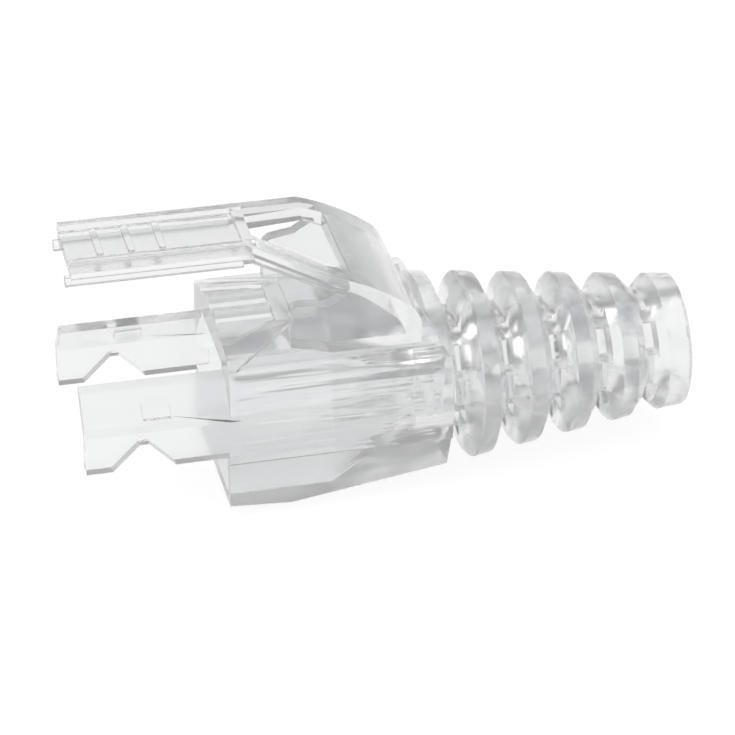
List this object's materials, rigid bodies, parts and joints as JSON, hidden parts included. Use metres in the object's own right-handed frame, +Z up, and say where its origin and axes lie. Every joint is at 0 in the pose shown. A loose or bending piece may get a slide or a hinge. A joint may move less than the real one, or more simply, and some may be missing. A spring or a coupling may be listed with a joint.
{
  "type": "strain relief boot for a modular network plug",
  "caption": "Clear moulded boot that slips over a network plug and its cable, with side arms, a latch guard tongue, a hood and a slotted ribbed tail.",
  "frame": {"origin": "on the floor, under the middle of the overall length and width", "axes": "+X points along the ribbed tail, +Z is up through the tongue, +Y is to the left seen from behind the tail"},
  "size_m": [0.0484, 0.0146, 0.022],
  "materials": {
    "clear_plastic": "clear, glossy, moulded"
  },
  "bodies": {
    "root": {"boot": "clear_plastic"}
  },
  "joints": []
}
